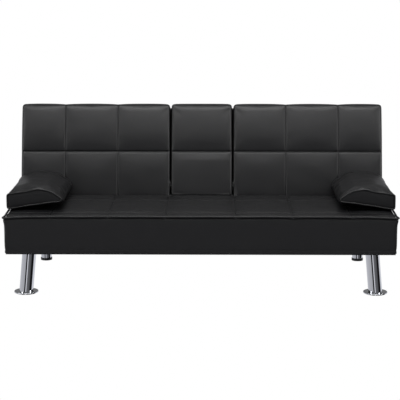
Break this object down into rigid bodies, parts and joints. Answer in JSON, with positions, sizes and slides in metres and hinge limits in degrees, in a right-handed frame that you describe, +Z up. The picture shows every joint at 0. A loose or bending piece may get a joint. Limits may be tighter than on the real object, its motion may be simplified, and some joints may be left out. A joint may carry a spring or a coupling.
{
  "type": "futon sofa bed",
  "caption": "Three-seat futon sofa bed with a tufted backrest that folds flat, a fold-down centre console with cup holders, and lift-off armrest cushions.",
  "frame": {"origin": "on the floor at the centre of the whole sofa's outline", "axes": "+X to the right when facing the sofa, +Y from its front to its back, +Z up"},
  "size_m": [1.67, 0.7752, 0.7471],
  "materials": {
    "faux_leather": "satin",
    "timber": "matte",
    "spring_wire": "satin",
    "dust_cloth": "matte",
    "chrome": "polished",
    "black_plastic": "satin",
    "black_steel": "satin",
    "zinc_steel": "satin",
    "elastic_webbing": "matte",
    "hook_and_loop": "matte"
  },
  "bodies": {
    "seat": {"seat_cushion": "faux_leather", "seat_rail_front": "timber", "seat_rail_rear": "timber", "seat_rails_end": "timber", "seat_rails_cross": "timber", "seat_corner_blocks": "timber", "seat_leg_boards": "timber", "seat_springs": "spring_wire", "seat_spring_clips": "spring_wire", "seat_dust_cover": "dust_cloth", "front_leg_left": "chrome", "front_leg_right": "chrome", "front_foot_left": "chrome", "front_foot_right": "chrome", "front_foot_pads": "black_plastic", "front_leg_plates": "black_steel", "front_leg_screws": "zinc_steel", "side_tube_left": "black_steel", "side_tube_right": "black_steel", "side_tube_bolts": "zinc_steel", "side_tube_caps": "black_plastic", "rear_cross_bar": "black_steel", "rear_leg_left": "chrome", "rear_leg_right": "chrome", "rear_leg_cap_left": "black_plastic", "rear_leg_cap_right": "black_plastic", "hinge_rivets": "zinc_steel", "hinge_stop_pins": "zinc_steel", "hinge_bracket_left": "black_steel", "hinge_bracket_right": "black_steel", "armrest_hook_strips": "hook_and_loop"},
    "backrest": {"hinge_screws": "zinc_steel", "hinge_plate_left": "black_steel", "hinge_plate_right": "black_steel", "back_cushion_left": "faux_leather", "back_cushion_right": "faux_leather", "back_cushion_lower": "faux_leather", "back_rail_bottom": "timber", "back_rail_top_left": "timber", "back_rail_top_right": "timber", "back_upright_inner_left": "timber", "back_upright_inner_right": "timber", "back_upright_outer_left": "timber", "back_upright_outer_right": "timber", "back_webbing": "elastic_webbing", "back_centre_panel": "faux_leather", "back_cover": "faux_leather", "console_bracket_left": "black_steel", "console_bracket_right": "black_steel", "console_bracket_screws": "black_steel"},
    "console": {"console_rod": "black_steel", "console_cushion": "faux_leather", "console_panel": "faux_leather", "cup_holder_left": "black_plastic", "cup_holder_right": "black_plastic"},
    "armrest_left": {"armrest_cushion_left": "faux_leather", "armrest_loop_strip_left": "hook_and_loop"},
    "armrest_right": {"armrest_cushion_right": "faux_leather", "armrest_loop_strip_right": "hook_and_loop"}
  },
  "joints": [
    {"name": "back_recline", "type": "hinge", "parent": "seat", "child": "backrest", "pos_m": [0, 0.17736, 0.303], "axis": [-1, 0, 0], "range_deg": [0, 74]},
    {"name": "console_fold", "type": "hinge", "parent": "backrest", "child": "console", "pos_m": [0, 0.18523, 0.37398], "axis": [1, 0, 0], "range_deg": [0, 106]},
    {"name": "armrest_left_lift", "type": "slide", "parent": "seat", "child": "armrest_left", "axis": [0, 0, 1], "range_m": [0, 0.15]},
    {"name": "armrest_right_lift", "type": "slide", "parent": "seat", "child": "armrest_right", "axis": [0, 0, 1], "range_m": [0, 0.15]}
  ]
}
